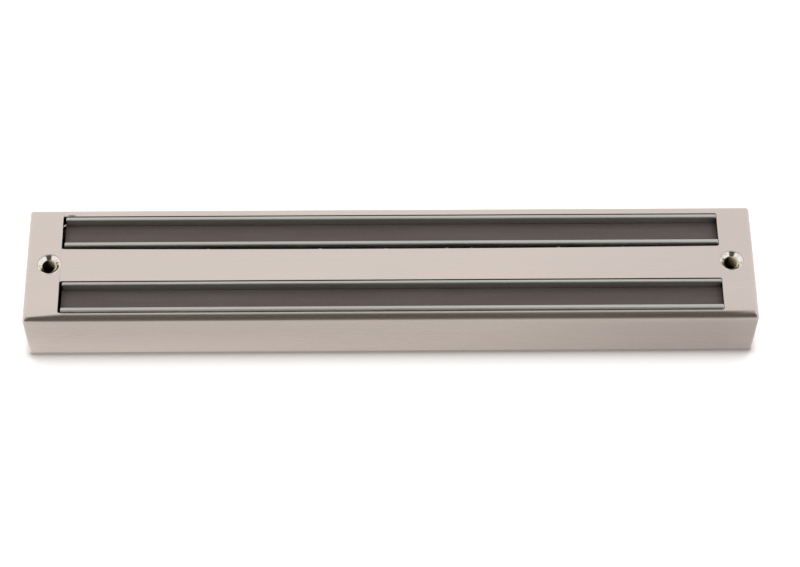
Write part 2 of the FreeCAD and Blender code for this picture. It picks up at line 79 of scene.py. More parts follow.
class Wire:
    """A node socket that can be added, multiplied and so on like a number."""

    def __init__(self, shop: "NodeShop", socket: bpy.types.NodeSocket) -> None:
        """Keeps the socket and the shop that makes its nodes.

        Args:
            shop: maker of the nodes in the same material.
            socket: output socket that carries the value.
        """
        self.shop = shop
        self.socket = socket

    def __add__(self, other: Value) -> "Wire":
        """Sum."""
        return self.shop.maths("ADD", self, other)

    __radd__ = __add__

    def __sub__(self, other: Value) -> "Wire":
        """Difference."""
        return self.shop.maths("SUBTRACT", self, other)

    def __rsub__(self, other: Value) -> "Wire":
        """Difference, the other way round."""
        return self.shop.maths("SUBTRACT", other, self)

    def __mul__(self, other: Value) -> "Wire":
        """Product."""
        return self.shop.maths("MULTIPLY", self, other)

    __rmul__ = __mul__

    def __truediv__(self, other: Value) -> "Wire":
        """Quotient."""
        return self.shop.maths("DIVIDE", self, other)

    def __pow__(self, other: Value) -> "Wire":
        """Power."""
        return self.shop.maths("POWER", self, other)

    def __abs__(self) -> "Wire":
        """Size without its sign."""
        return self.shop.maths("ABSOLUTE", self)

    def smallest(self, other: Value) -> "Wire":
        """The smaller of the two."""
        return self.shop.maths("MINIMUM", self, other)

    def largest(self, other: Value) -> "Wire":
        """The larger of the two."""
        return self.shop.maths("MAXIMUM", self, other)

    def swing(self, gain: float, level: float = 0.5) -> "Wire":
        """How far a pattern is above a level, times a gain."""
        return (self - level) * gain

    def ramp(self, start: float, end: float) -> "Wire":
        """0 at start rising smoothly to 1 at end.

        Args:
            start: value that gives 0.
            end: value that gives 1; it may be less than start.

        Returns:
            The eased share, from 0 to 1.
        """
        if start > end:
            return 1 - self.ramp(end, start)
        return self.shop.node(
            "ShaderNodeMapRange", {"interpolation_type": "SMOOTHSTEP"},
            {"Value": self, "From Min": start, "From Max": end},
        )


class NodeShop:
    """Makes the nodes of one material, or of the room."""

    MIX_SHARE, MIX_FIRST, MIX_SECOND, MIX_RESULT = 0, 6, 7, 2    # a Mix node's colour sockets

    def __init__(self, holder: Union[str, bpy.types.World]) -> None:
        """Starts with no nodes.

        Args:
            holder: the name for a new material, or the world to light.
        """
        made = bpy.data.materials.new(holder) if isinstance(holder, str) else holder
        made.use_nodes = True
        self.holder = made
        self.tree = made.node_tree
        self.tree.nodes.clear()

    def plug(self, socket: bpy.types.NodeSocket, value: Value) -> None:
        """Links a wire to a socket, or sets the socket to a number or colour.

        Args:
            socket: input socket.
            value: wire, number or colour.
        """
        if isinstance(value, Wire):
            self.tree.links.new(value.socket, socket)
        elif isinstance(value, tuple) and socket.type == "RGBA":
            socket.default_value = (*value, 1.0)
        else:
            socket.default_value = value

    def node(
        self, kind: str, settings: dict[str, object], inputs: Inputs, output: Union[int, str] = 0
    ) -> Wire:
        """Adds any node that has an output.

        Args:
            kind: the node's type name.
            settings: properties set before the inputs.
            inputs: value or wire for each input, by name or number.
            output: which output to return.

        Returns:
            The chosen output.
        """
        made = self.tree.nodes.new(kind)
        for key, setting in settings.items():
            setattr(made, key, setting)
        for key, value in inputs.items():
            self.plug(made.inputs[key], value)
        return Wire(self, made.outputs[output])

    def maths(self, operation: str, *values: Value) -> Wire:
        """Adds one Math node."""
        return self.node("ShaderNodeMath", {"operation": operation}, dict(enumerate(values)))

    def place(self) -> Wire:
        """Where a point lies on the rack, in metres."""
        return self.node("ShaderNodeTexCoord", {}, {}, "Object")

    def axis(self, vector: Wire, name: str) -> Wire:
        """One part of a vector, "X", "Y" or "Z"."""
        return self.node("ShaderNodeSeparateXYZ", {}, {"Vector": vector}, name)

    def facing(self) -> Wire:
        """The surface's true direction."""
        return self.node("ShaderNodeNewGeometry", {}, {}, "True Normal")

    def noise(
        self, scale: Point, detail: float = 3.0, seed: float = 0.0, distortion: float = 0.0
    ) -> Wire:
        """Cloudy pattern around 0.5, with its own scale on each axis.

        Args:
            scale: repeats per metre along X, Y and Z.
            detail: how many finer layers it has.
            seed: moves the pattern, so that two of them differ.
            distortion: how far it is swirled.

        Returns:
            The pattern's height.
        """
        stretched = self.node(
            "ShaderNodeMapping", {"vector_type": "POINT"},
            {"Vector": self.place(), "Location": (seed, seed * 1.7, seed * 0.6), "Scale": scale},
        )
        return self.node(
            "ShaderNodeTexNoise", {"noise_dimensions": "3D"},
            {"Vector": stretched, "Scale": 1.0, "Detail": detail, "Distortion": distortion},
        )

    def blend(self, share: Value, first: Value, second: Value) -> Wire:
        """Mixes two colours.

        Args:
            share: 0 gives the first, 1 the second.
            first: colour.
            second: colour.

        Returns:
            The mixed colour.
        """
        return self.node(
            "ShaderNodeMix", {"data_type": "RGBA"},
            {self.MIX_SHARE: share, self.MIX_FIRST: first, self.MIX_SECOND: second},
            self.MIX_RESULT,
        )

    def bump(self, height: Wire, depth: float) -> Wire:
        """The normal of a surface raised by a pattern, depth metres high."""
        return self.node("ShaderNodeBump", {}, {"Height": height, "Distance": depth})

    def show(self, shader: Wire, kind: str) -> None:
        """Leads a shader to a new output node of the given kind."""
        output = self.tree.nodes.new(kind)
        self.tree.links.new(shader.socket, output.inputs["Surface"])

    def finish(self, inputs: Inputs) -> bpy.types.Material:
        """Ends the material with one surface shader.

        Args:
            inputs: what its sockets get.

        Returns:
            The finished material.
        """
        self.show(self.node("ShaderNodeBsdfPrincipled", {}, inputs), "ShaderNodeOutputMaterial")
        return self.holder


# ---------------- finishes

def scaled(colour: Colour, share: float) -> Colour:
    """A colour made darker or lighter by a share."""
    return tuple(share * part for part in colour)


class Grain(Enum):
    """Which way a sheet or strip was brushed."""

    LENGTHWISE = "lengthwise"
    MILL = "mill"


@dataclass(frozen=True)
class BrushedStainless:
    """Satin stainless sheet brushed along the rack, the lines turning down over the ends."""

    tone: Colour = (0.735, 0.652, 0.610)
    shade: Colour = (0.700, 0.628, 0.580)
    streak: float = 0.86
    line_share: float = 0.08
    broad_share: float = 0.22
    line_depth: float = 0.0003 * MM
    roughness: float = 0.27
    rough_swing: float = 0.08
    end_turn: Span = (0.6, 0.8)
    # painted light: the foot of the walls is lighter by this share of the tone, over the heights
    # and reach below
    painted_foot_light_tone: float = 1.18
    foot: Span = (2.0 * MM, 24.0 * MM)
    foot_fade: Span = (-130.0 * MM, 60.0 * MM)
    foot_fade_share: float = 0.75
    # painted shade: the walls, and less so the face, darker towards the right-hand end
    painted_right_shade_tone: float = 0.62
    right_shade_share: float = 0.6
    right_shade_reach: Span = (20.0 * MM, 172.0 * MM)
    right_shade_on_face: float = 0.25
    wall_top: Span = (26.0 * MM, 32.0 * MM)
    # painted shade: the lowest 2 mm of the walls darker, where the floor shades them
    grime_and_painted_shade: float = 0.45
    edge_shade_share: float = 0.6
    edge_shade_reach: Span = (0.6 * MM, 2.0 * MM)

    def make(self) -> bpy.types.Material:
        """Builds the finish.

        Returns:
            The finished material.
        """
        shop = NodeShop("brushed_stainless")
        end_wall = abs(shop.axis(shop.facing(), "X")).ramp(*self.end_turn)
        along = shop.noise((9, 2600, 2600), detail=4, seed=0.31)
        down = shop.noise((2600, 2600, 9), detail=4, seed=0.77)
        lines = along * (1 - end_wall) + down * end_wall
        broad = shop.noise((5, 40, 40), detail=2, seed=0.13)
        cloud = shop.noise((14, 30, 30), detail=3, seed=0.59, distortion=0.4)
        tint = shop.blend(cloud.swing(1.4, level=0.3), self.tone, self.shade)
        streaks = shop.blend(
            lines.swing(self.line_share, level=0.36) + broad.swing(self.broad_share),
            tint, scaled(self.tone, self.streak),
        )
        return shop.finish({
            # the base colour carries painted light at the foot of the walls and painted shade at
            # the right-hand end and lowest edge
            "Base Color": self._painted_light_and_shade(shop, streaks),
            "Metallic": 1.0,
            "Roughness": lines.swing(self.rough_swing) + broad.swing(self.rough_swing)
            + self.roughness,
            "Normal": shop.bump(lines, self.line_depth),
        })

    def _painted_light_and_shade(self, shop: NodeShop, colour: Wire) -> Wire:
        """Paints light on the foot of the walls, and shade on the right-hand end and along the
        lowest edge.

        Args:
            shop: the material's nodes.
            colour: the brushed colour.

        Returns:
            The colour with the three changes.
        """
        place = shop.place()
        height, across = shop.axis(place, "Z"), shop.axis(place, "X")
        # painted light: lighter towards the foot of the walls, fading towards the right
        foot = 1 - height.ramp(*self.foot)
        faded = 1 - across.ramp(*self.foot_fade) * self.foot_fade_share
        painted_foot_light = shop.blend(foot * faded, colour, scaled(self.tone, self.painted_foot_light_tone))
        wall = 1 - height.ramp(*self.wall_top)
        # painted shade: darker towards the right-hand end, most on the walls below the face
        painted_right_shade = across.ramp(*self.right_shade_reach) * (self.right_shade_on_face + wall * (1 - self.right_shade_on_face))
        wear_and_painted_light = shop.blend(painted_right_shade * self.right_shade_share, painted_foot_light, scaled(self.tone, self.painted_right_shade_tone))
        # painted shade: darkest along the lowest edge, next to the floor
        edge = 1 - height.ramp(*self.edge_shade_reach)
        return shop.blend(edge * self.edge_shade_share, wear_and_painted_light, scaled(self.tone, self.grime_and_painted_shade))


@dataclass(frozen=True)
class PoleSteel:
    """Zinc-plated ground steel strip with bright worn tips."""

    tone: Colour = (0.56, 0.57, 0.55)
    wear: Colour = (0.60, 0.595, 0.57)
    scratch: Colour = (0.34, 0.335, 0.32)
    worn_heights: Span = (32.4 * MM, 33.4 * MM)
    roughness: float = 0.44
    grain_depth: float = 0.004 * MM

    def make(self) -> bpy.types.Material:
        """Builds the finish.

        Returns:
            The finished material.
        """
        shop = NodeShop("pole_steel")
        lines = shop.noise((14, 2200, 2200), detail=4, seed=0.21)
        patches = shop.noise((30, 260, 260), detail=3, seed=0.47, distortion=0.3)
        height = shop.axis(shop.place(), "Z")
        wear_and_painted_light = height.ramp(*self.worn_heights) * (0.55 + patches * 0.6)
        colour = shop.blend(wear_and_painted_light.smallest(1.0), self.tone, self.wear)
        return shop.finish({
            "Base Color": shop.blend(lines.swing(0.5, level=0.4), colour, self.scratch),
            "Metallic": 1.0,
            "Roughness": patches.swing(0.25) + lines.swing(0.15) + self.roughness,
            "Normal": shop.bump(lines * 0.5 + patches * 0.5, self.grain_depth),
        })


@dataclass(frozen=True)
class FerriteStrip:
    """Matt brown-grey ferrite, faintly ribbed and rubbed by blades."""

    tone: Colour = (0.165, 0.128, 0.121)
    rubbed: Colour = (0.215, 0.180, 0.170)
    pitted: Colour = (0.09, 0.075, 0.072)
    roughness: float = 0.62
    grain_depth: float = 0.03 * MM

    def make(self) -> bpy.types.Material:
        """Builds the finish.

        Returns:
            The finished material.
        """
        shop = NodeShop("ferrite_strip")
        grain = shop.noise((900, 900, 900), detail=4, seed=0.19)
        strokes = shop.noise((26, 420, 420), detail=4, seed=0.83, distortion=0.2)
        patches = shop.noise((22, 90, 90), detail=3, seed=0.41, distortion=0.5)
        share = strokes.swing(1.1, level=0.35) + patches.swing(0.9)
        colour = shop.blend(share, self.tone, self.rubbed)
        return shop.finish({
            "Base Color": shop.blend(grain.swing(0.5) + 0.1, colour, self.pitted),
            "Roughness": strokes.swing(0.2) + self.roughness,
            "Normal": shop.bump(grain * 0.4 + strokes * 0.6, self.grain_depth),
        })


@dataclass(frozen=True)
class PlatedMetal:
    """Turned and plated metal: fine rings, small stains."""

    name: str
    tone: Colour
    stain: Colour
    roughness: float
    stain_levels: Span = (0.48, 0.72)
    ring_depth: float = 0.001 * MM

    def make(self) -> bpy.types.Material:
        """Builds the finish.

        Returns:
            The finished material.
        """
        shop = NodeShop(self.name)
        rings = shop.noise((300, 300, 5200), detail=3, seed=0.29)
        stains = shop.noise((420, 420, 420), detail=4, seed=0.67, distortion=0.6)
        return shop.finish({
            "Base Color": shop.blend(stains.ramp(*self.stain_levels), self.tone, self.stain),
            "Metallic": 1.0,
            "Roughness": rings.swing(0.1) + stains.swing(0.12) + self.roughness,
            "Normal": shop.bump(rings, self.ring_depth),
        })


@dataclass(frozen=True)
class BoreBrass:
    """Turned brass tube, with painted light on one side of its mouth and painted shade, near
    black, deeper in the bore.
    """

    tone: Colour = (0.92, 0.78, 0.56)
    # painted shade: the near-black deep in the bore
    painted_bore_shade: Colour = (0.020, 0.014, 0.010)
    hole_reach: float = 164.0 * MM
    bore: float = 3.5 * MM
    # painted light: which side of the mouth is lit, and how far down the bore the light reaches
    lit_side_way: Span = (0.9, 0.35)
    lit_side_levels: Span = (-0.1, 0.75)
    lit_mouth_heights: Span = (20.25 * MM, 29.25 * MM)
    roughness: float = 0.42
    ring_depth: float = 0.003 * MM

    def make(self) -> bpy.types.Material:
        """Builds the finish.

        Returns:
            The finished material.
        """
        shop = NodeShop("brass_tube")
        place = shop.place()
        across, depth, height = (shop.axis(place, name) for name in "XYZ")
        from_middle = across - shop.maths("SIGN", across) * self.hole_reach
        side = (from_middle * self.lit_side_way[0] + depth * self.lit_side_way[1]) / self.bore
        grime_and_painted_shade = shop.noise((700, 700, 240), detail=4, seed=0.53, distortion=0.4)
        # painted light on the right and back of the mouth, fading to painted shade below it; the
        # noise makes it uneven
        painted_mouth_light = side.ramp(*self.lit_side_levels) * height.ramp(*self.lit_mouth_heights)
        painted_mouth_light = (painted_mouth_light * (0.75 + grime_and_painted_shade * 0.5)).smallest(1.0)
        rings = shop.noise((200, 200, 4200), detail=3, seed=0.29)
        return shop.finish({
            "Base Color": shop.blend(painted_mouth_light, self.painted_bore_shade, self.tone),
            "Metallic": 0.2,
            "Roughness": rings.swing(0.2) + self.roughness,
            "Normal": shop.bump(rings, self.ring_depth),
        })


@dataclass(frozen=True)
class PlainMetal:
    """Unseen metalwork: mill-finish or galvanised sheet, extrusions and screws."""

    name: str
    tone: Colour
    mottle: Colour
    roughness: float
    grain: Grain = Grain.MILL
    spangle_scale: float = 260.0
    dirt_levels: Span = (0.55, 0.8)
    dirt_tone: float = 0.55
    grain_depth: float = 0.004 * MM

    def make(self) -> bpy.types.Material:
        """Builds the finish.

        Returns:
            The finished material.
        """
        shop = NodeShop(self.name)
        stretch = (20, 1400, 1400) if self.grain is Grain.LENGTHWISE else (500, 500, 500)
        fine = shop.noise(stretch, detail=4, seed=0.37)
        cells = shop.node(
            "ShaderNodeTexVoronoi", {"feature": "F1"},
            {"Vector": shop.place(), "Scale": self.spangle_scale}, "Color",
        )
        spangle = shop.axis(cells, "X")
        dirt = shop.noise((70, 70, 70), detail=4, seed=0.93, distortion=0.5)
        colour = shop.blend(spangle * 0.4 + fine.swing(0.6, level=0.4), self.tone, self.mottle)
        return shop.finish({
            "Base Color": shop.blend(
                dirt.ramp(*self.dirt_levels) * 0.5, colour, scaled(self.tone, self.dirt_tone)
            ),
            "Metallic": 1.0,
            "Roughness": spangle.swing(0.12) + dirt.swing(0.3) + self.roughness,
            "Normal": shop.bump(fine, self.grain_depth),
        })


@dataclass(frozen=True)
class StudioFloor:
    """Plain white floor, satin, very slightly uneven. To the camera it glows white, with a painted
    contact shadow close to the rack; other rays see a dimmer glow.
    """

    tone: Colour = (0.88, 0.88, 0.88)
    cloud: Colour = (0.85, 0.85, 0.85)
    # painted shadow: the dark colour the floor's glow turns to beside the rack
    painted_contact_shadow: Colour = (0.06, 0.045, 0.03)
    glow: Colour = (0.84, 0.84, 0.84)
    bounce: Colour = (0.32, 0.31, 0.30)
    contact_shadow_fade: float = 4.5 * MM
    reach: Span = (175.0 * MM, 31.25 * MM)

    def make(self) -> bpy.types.Material:
        """Builds the finish.

        Returns:
            The finished material.
        """
        shop = NodeShop("studio_floor")
        cloud = shop.noise((3, 3, 3), detail=2, seed=0.5)
        place = shop.place()
        along, across = (
            (abs(shop.axis(place, name)) - limit).largest(0.0)
            for name, limit in zip("XY", self.reach)
        )
        away = (along * along + across * across) ** 0.5
        # painted contact shadow: 1 at the rack's outline, fading away from it
        contact_shadow_share = shop.maths("EXPONENT", away / -self.contact_shadow_fade)
        seen = shop.node("ShaderNodeLightPath", {}, {}, "Is Camera Ray")
        return shop.finish({
            "Base Color": shop.blend(cloud * 0.3, self.tone, self.cloud),
            "Metallic": 0.5,
            "Roughness": 0.4,
            "Emission Color": shop.blend(
                seen, self.bounce, shop.blend(contact_shadow_share, self.glow, self.painted_contact_shadow)
            ),
            "Emission Strength": 1.0,
        })


# ---------------- workbench

class Bench:
    """Hand tools: adds a primitive, picks its parts by place, and shapes it."""

    @staticmethod
    def clear() -> None:
        """Deselects everything."""
        for item in bpy.context.view_layer.objects:
            item.select_set(False)

    @classmethod
    def take(cls, piece: bpy.types.Object) -> None:
        """Makes a piece the only selected and active one.

        Args:
            piece: the piece.
        """
        cls.clear()
        piece.select_set(True)
        bpy.context.view_layer.objects.active = piece

    @classmethod
    def settle(cls, piece: bpy.types.Object) -> None:
        """Puts a piece's place, turn and size into its mesh."""
        cls.take(piece)
        bpy.ops.object.transform_apply(location=True, rotation=True, scale=True)

    @classmethod
    def _name(cls, name: str) -> bpy.types.Object:
        """Names the new piece and moves its place into its mesh.

        Args:
            name: the piece's name.

        Returns:
            The piece.
        """
        piece = bpy.context.active_object
        piece.name = name
        piece.data.name = name
        cls.settle(piece)
        return piece

    @classmethod
    def block(cls, name: str, low: Sequence[float], high: Sequence[float]) -> bpy.types.Object:
        """Adds a block between two corners.

        Args:
            name: the piece's name.
            low: lowest corner, in metres.
            high: highest corner, in metres.

        Returns:
            The block, its place already in its mesh.
        """
        cls.clear()
        low_corner, high_corner = Vector(low), Vector(high)
        bpy.ops.mesh.primitive_cube_add(
            size=1, location=(low_corner + high_corner) / 2, scale=high_corner - low_corner
        )
        return cls._name(name)

    @classmethod
    def rod(cls, name: str, centre: Point, radius: float, length: float) -> bpy.types.Object:
        """Adds an upright round rod.

        Args:
            name: the piece's name.
            centre: its middle, in metres.
            radius: its radius.
            length: its height.

        Returns:
            The rod.
        """
        cls.clear()
        bpy.ops.mesh.primitive_cylinder_add(
            vertices=ROUND_SIDES, radius=radius, depth=length, location=centre
        )
        return cls._name(name)

    @classmethod
    def turn(cls, name: str, centre: Point, profile: Sequence[Span]) -> bpy.types.Object:
        """Turns a closed ring on a lathe: one circle, drawn and scaled round its profile.

        Args:
            name: the piece's name.
            centre: middle of the ring at height 0 of the profile.
            profile: (radius, height) corners in order round the section.

        Returns:
            The ring.
        """
        cls.clear()
        radius, height = profile[0]
        middle = Vector(centre)
        bpy.ops.mesh.primitive_circle_add(
            vertices=ROUND_SIDES, radius=radius, fill_type="NOTHING",
            location=middle + Vector((0, 0, height)),
        )
        piece = cls._name(name)
        cls.take(piece)
        bpy.ops.object.mode_set(mode="EDIT")
        bpy.ops.mesh.select_mode(type="EDGE")
        bpy.ops.mesh.select_all(action="SELECT")
        for (old_radius, old_height), (new_radius, new_height) in zip(profile, profile[1:]):
            bpy.ops.mesh.extrude_edges_move(
                TRANSFORM_OT_translate={"value": (0, 0, new_height - old_height)}
            )
            share = new_radius / old_radius
            bpy.ops.transform.resize(
                value=(share, share, 1), center_override=middle + Vector((0, 0, new_height))
            )
        cls.leave()

        def on_end_circle(*points: Vector) -> bool:
            """Tests for an edge of the first or last circle.

            Args:
                points: the edge's two ends.

            Returns:
                True where both ends lie on one of the circles.
            """
            return all(
                any(
                    abs(point.z - middle.z - level) < COIN
                    and abs((point - middle).xy.length - reach) < COIN
                    for reach, level in (profile[0], profile[-1])
                )
                for point in points
            )

        cls.pick(piece, "EDGE", on_end_circle)
        bpy.ops.mesh.bridge_edge_loops()
        cls.leave()
        cls.straighten(piece)
        return piece

    @classmethod
    def pick(
        cls, piece: bpy.types.Object, kind: str, test: Callable[[Vector, Vector], bool]
    ) -> None:
        """Selects faces or edges by their place, and leaves the piece in edit mode.

        Args:
            piece: the piece.
            kind: "FACE" or "EDGE".
            test: called with a face's middle and direction, or with an edge's two ends.
        """
        cls.take(piece)
        bpy.ops.object.mode_set(mode="EDIT")
        bpy.ops.mesh.select_mode(type=kind)
        bpy.ops.mesh.select_all(action="DESELECT")
        bpy.ops.object.mode_set(mode="OBJECT")
        mesh = piece.data
        if kind == "FACE":
            for face in mesh.polygons:
                face.select = test(face.center, face.normal)
        else:
            for edge in mesh.edges:
                first, second = (mesh.vertices[index].co for index in edge.vertices)
                edge.select = test(first, second)
        bpy.ops.object.mode_set(mode="EDIT")

    @staticmethod
    def leave() -> None:
        """Goes back to object mode."""
        bpy.ops.object.mode_set(mode="OBJECT")

    @classmethod
    def divide(cls, piece: bpy.types.Object, place: Point, direction: Point) -> None:
        """Scribes a line of new edges all round a piece, where a plane crosses it.

        Args:
            piece: the piece.
            place: a point of the plane.
            direction: the way the plane faces.
        """
        cls.pick(piece, "FACE", lambda middle, facing: True)
        bpy.ops.mesh.bisect(plane_co=place, plane_no=direction)
        cls.leave()

    @classmethod
    def modify(cls, piece: bpy.types.Object, kind: str, **settings: object) -> None:
        """Adds a modifier and applies it at once.

        Args:
            piece: the piece.
            kind: the modifier's type.
            settings: its properties.
        """
        cls.take(piece)
        modifier = piece.modifiers.new(kind.lower(), kind)
        for key, setting in settings.items():
            setattr(modifier, key, setting)
        bpy.ops.object.modifier_apply(modifier=modifier.name)

    @classmethod
    def cut(cls, piece: bpy.types.Object, cutters: Sequence[bpy.types.Object]) -> None:
        """Cuts the cutters' shapes out of a piece and throws the cutters away.

        Args:
            piece: the piece.
            cutters: closed shapes, cut in their order.
        """
        for cutter in cutters:
            cls.modify(piece, "BOOLEAN", operation="DIFFERENCE", solver="EXACT", object=cutter)
            bpy.data.objects.remove(cutter)

    @classmethod
    def break_edges(cls, piece: bpy.types.Object, width: float, angle: float) -> None:
        """Rounds every edge sharper than an angle.

        Args:
            piece: the piece.
            width: radius, in metres.
            angle: limit, in degrees.
        """
        cls.modify(piece, "BEVEL", width=width, segments=2, limit_method="ANGLE",
                   angle_limit=math.radians(angle), harden_normals=False)

    @classmethod
    def smooth(cls, piece: bpy.types.Object, angle: float) -> None:
        """Shades a piece smoothly, apart from edges sharper than an angle in degrees."""
        cls.take(piece)
        bpy.ops.object.shade_smooth_by_angle(angle=math.radians(angle))

    @classmethod
    def straighten(cls, piece: bpy.types.Object) -> None:
        """Merges doubled points and turns every face outwards.

        Args:
            piece: the piece.
        """
        cls.take(piece)
        bpy.ops.object.mode_set(mode="EDIT")
        bpy.ops.mesh.select_mode(type="VERT")
        bpy.ops.mesh.select_all(action="SELECT")
        bpy.ops.mesh.remove_doubles(threshold=0.5 * COIN)
        bpy.ops.mesh.normals_make_consistent(inside=False)
        cls.leave()


def dress(piece: bpy.types.Object, material: bpy.types.Material) -> None:
    """Gives a piece one material and nothing else."""
    piece.data.materials.clear()
    piece.data.materials.append(material)


def fit(
    piece: bpy.types.Object, nodes: Sequence[str], material: bpy.types.Material
) -> None:
    """Dresses a finished piece and fixes it on the rack.

    Args:
        piece: the finished piece.
        nodes: the CAD nodes that it stands for, if any.
        material: its material.
    """
    dress(piece, material)
    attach(piece, ROOT)
    if nodes:
        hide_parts(*nodes)
    LOG.info("%s: %d faces, stands for %s", piece.name, len(piece.data.polygons), list(nodes))


# ---------------- the cover

@dataclass
class Cover:
    """Folded stainless cover: face, four walls, two rail slots and two ferrule holes."""

    steel: bpy.types.Material
    node: str = "housing"
    sheet: float = 1.0 * MM
    long_fold: float = 4.2 * MM
    end_fold: float = 2.5 * MM
    upper_fold: float = 2.5 * MM
    fold_steps: int = 12
    corner: float = 1.2 * MM
    tight_fold: float = 2.6 * MM
    tight_reach: float = 16.0 * MM
    tight_steps: int = 9
    slot_half_length: float = 158.5 * MM
    slot_corner: float = 0.8 * MM
    slot_corner_steps: int = 4
    slot_ease: float = 0.12 * MM
    upper_slot: Span = (8.6 * MM, 27.0 * MM)
    lower_slot: Span = (-26.9 * MM, -9.5 * MM)
    upper_bow: float = 0.7 * MM
    lower_bow: float = 0.1 * MM
    bow_cuts: int = 40
    hole_radius: float = 5.65 * MM
    hole_reach: float = 164.0 * MM
    cutter_reach: float = 4.0 * MM
    scribe_shares: tuple[float, ...] = (-1, -0.66, -0.33, 0, 0.33, 0.66, 1)
    scribe_gap: float = 0.1 * MM
    shading_angle: float = 18.0

    def build(self) -> None:
        """Folds, cuts and dresses the cover."""
        low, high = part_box(self.node)
        cover = Bench.block("brushed_cover", low, high)
        self._fold(cover, low, high)
        cutters = [
            self._slot_cutter("upper_slot_cutter", self.upper_slot, self.upper_bow, high.z),
            self._slot_cutter("lower_slot_cutter", self.lower_slot, self.lower_bow, high.z),
        ]
        for side, along in (("left", -self.hole_reach), ("right", self.hole_reach)):
            cutters.append(Bench.rod(
                f"{side}_hole_cutter", (along, 0, high.z), self.hole_radius, 2 * self.cutter_reach
            ))
        Bench.cut(cover, cutters)
        self._ease_slots(cover, high.z)
        Bench.straighten(cover)
        Bench.smooth(cover, self.shading_angle)
        fit(cover, [self.node], self.steel)

    def _fold(self, cover: bpy.types.Object, low: Vector, high: Vector) -> None:
        """Opens the back, rounds the folds and the ground corners, and gives the sheet its gauge.

        Args:
            cover: the plain block.
            low: its lowest corner.
            high: its highest corner.
        """
        Bench.pick(cover, "FACE", lambda middle, facing: facing.z < -0.9)
        bpy.ops.mesh.delete(type="FACE")
        Bench.leave()
        weights = cover.data.attributes.new("bevel_weight_edge", "FLOAT", "EDGE")
        for edge in cover.data.edges:
            first, second = (cover.data.vertices[index].co for index in edge.vertices)
            if abs(first.z - second.z) > COIN:
                weights.data[edge.index].value = self.corner / self.long_fold
            elif min(first.z, second.z) > high.z - COIN:
                if abs(first.x - second.x) < COIN:
                    radius = self.end_fold
                else:
                    radius = self.long_fold if first.y < 0 else self.upper_fold
                weights.data[edge.index].value = radius / self.long_fold
        Bench.modify(cover, "BEVEL", width=self.long_fold, segments=self.fold_steps,
                     limit_method="WEIGHT", profile=0.5)
        self._tighten(cover, low, high)
        for share in self.scribe_shares:
            along = share * (self.slot_half_length + self.scribe_gap)
            Bench.divide(cover, (along, 0, 0), (1, 0, 0))
        for reach in (self.upper_slot, (0.0, 0.0), self.lower_slot):
            Bench.divide(cover, (0, sum(reach) / 2, 0), (0, 1, 0))
        Bench.modify(cover, "SOLIDIFY", thickness=self.sheet, offset=-1.0, use_even_offset=True)

    def _tighten(self, cover: bpy.types.Object, low: Vector, high: Vector) -> None:
        """Draws the lower long fold in towards the left end, where the press pinched it.

        Args:
            cover: the bevelled, open block.
            low: its lowest corner.
            high: its highest corner.
        """
        start = low.x + self.end_fold
        for step in range(1, self.tight_steps + 1):
            along = start + step * self.tight_reach / self.tight_steps
            Bench.divide(cover, (along, 0, 0), (1, 0, 0))
        for point in cover.data.vertices:
            across, up = point.co.y - low.y, high.z - point.co.z
            in_fold = across < self.long_fold + COIN and up < self.long_fold + COIN
            if not in_fold or point.co.x > start + self.tight_reach:
                continue
            share = min(max((point.co.x - start) / self.tight_reach, 0.0), 1.0)
            radius = self.tight_fold + (self.long_fold - self.tight_fold) * share
            scale = radius / self.long_fold
            point.co.y = low.y + across * scale
            point.co.z = high.z - up * scale

    def _slot_cutter(self, name: str, reach: Span, bow: float, face: float) -> bpy.types.Object:
        """A block of the slot's outline, its lower edge sprung down, its corners rounded.

        Args:
            name: the cutter's name.
            reach: lower and upper edge at the slot's ends.
            bow: how far the middle of the lower edge is sprung down.
            face: height of the cover's face.

        Returns:
            The cutter.
        """
        low_edge, high_edge = reach
        half = self.slot_half_length
        cutter = Bench.block(
            name, (-half, low_edge, face - self.cutter_reach),
            (half, high_edge, face + self.cutter_reach),
        )
        Bench.pick(cutter, "EDGE", lambda a, b: abs(a.z - b.z) > COIN)
        bpy.ops.mesh.bevel(
            offset=self.slot_corner, segments=self.slot_corner_steps, affect="EDGES"
        )
        Bench.leave()
        Bench.pick(
            cutter, "EDGE",
            lambda a, b: abs(a.x - b.x) > half and a.y < low_edge + COIN and b.y < low_edge + COIN,
        )
        bpy.ops.mesh.subdivide(number_cuts=self.bow_cuts)
        Bench.leave()
        for point in cutter.data.vertices:
            if point.co.y < low_edge + COIN and abs(point.co.x) < half - self.slot_corner - COIN:
                share = point.co.x / half
                point.co.y -= bow * (1 - share * share)
        return cutter

    def _ease_slots(self, cover: bpy.types.Object, face: float) -> None:
        """Takes the sharpness off the slots' outer edges, as a file would.

        Args:
            cover: the cut cover.
            face: height of its face.
        """
        half = self.slot_half_length + COIN

        def round_a_slot(a: Vector, b: Vector) -> bool:
            """Tests for an edge of a slot at the face.

            Args:
                a: the edge's first end.
                b: the edge's second end.

            Returns:
                True where both ends lie on one slot.
            """
            if min(a.z, b.z) < face - COIN or max(abs(a.x), abs(b.x)) > half:
                return False
            return any(
                all(
                    low_edge - 2 * self.upper_bow < point.y < high_edge + COIN
                    for point in (a, b)
                )
                for low_edge, high_edge in (self.upper_slot, self.lower_slot)
            )

        Bench.pick(cover, "EDGE", round_a_slot)
        bpy.ops.mesh.bevel(offset=self.slot_ease, segments=2, affect="EDGES")
        Bench.leave()


# ---------------- the rails

